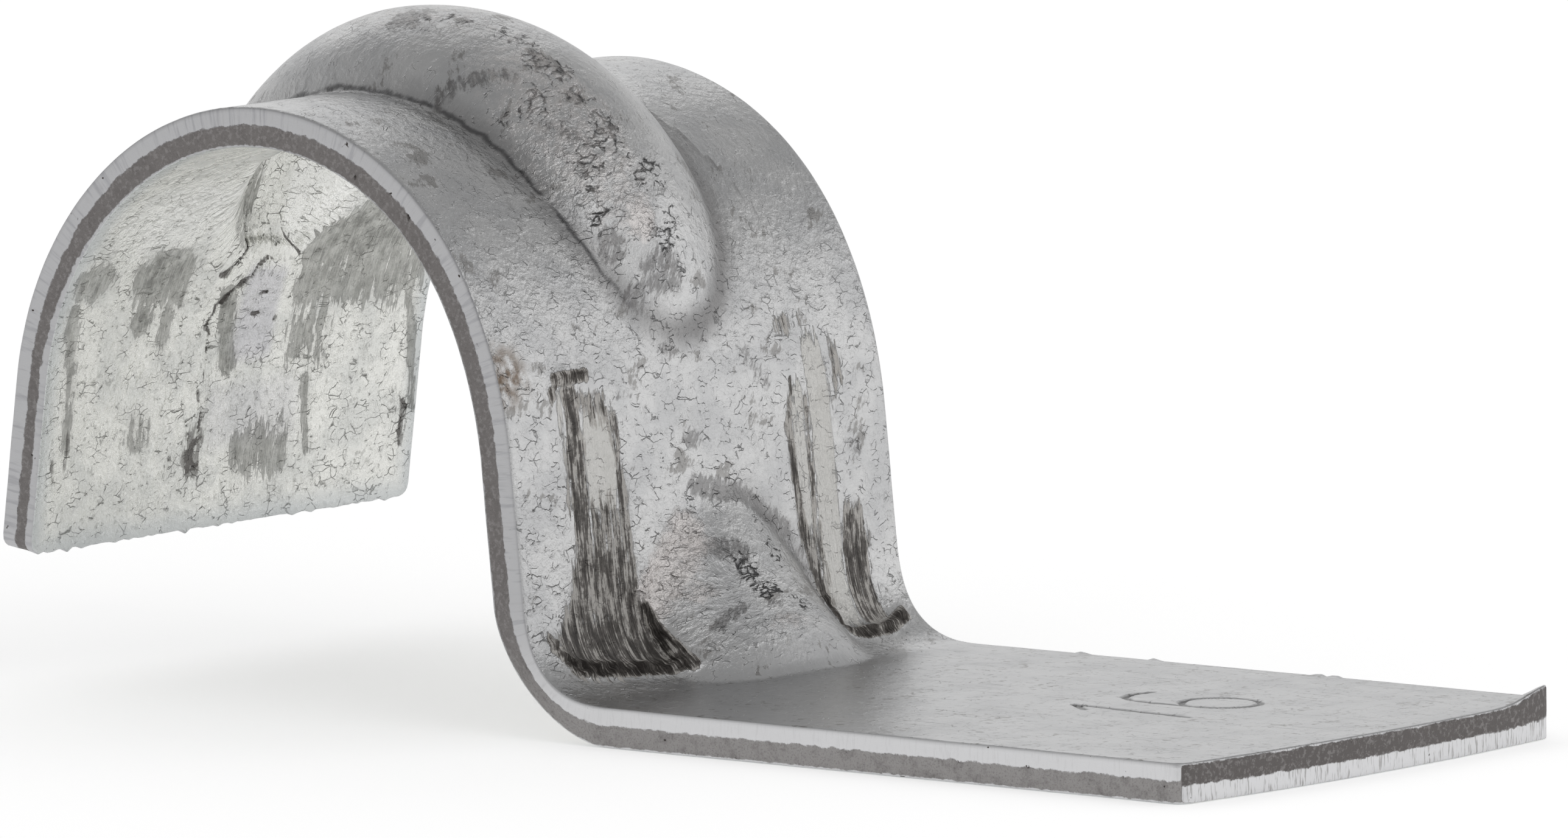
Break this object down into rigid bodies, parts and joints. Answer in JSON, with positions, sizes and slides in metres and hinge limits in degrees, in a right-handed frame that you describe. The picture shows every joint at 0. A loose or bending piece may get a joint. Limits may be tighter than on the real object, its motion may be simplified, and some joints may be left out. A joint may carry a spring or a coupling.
{
  "type": "p-clip",
  "caption": "Pipe clip pressed from a strip of galvanised steel: an arch with a stiffening bead holds the pipe, and a flat foot beside it is fixed to the wall.",
  "frame": {"origin": "middle of the foot's underside, where it bears on the wall", "axes": "+X along the foot away from the arch, Y across the strip and along the pipe, +Z away from the wall"},
  "size_m": [0.045, 0.017, 0.02],
  "materials": {
    "galvanised_steel": "hot-dip galvanised sheet, dull grey, scuffed and scratched, with a bright zinc half and a rough steel half on each sheared edge"
  },
  "bodies": {
    "root": {"pipe_clip": "galvanised_steel"}
  },
  "joints": []
}
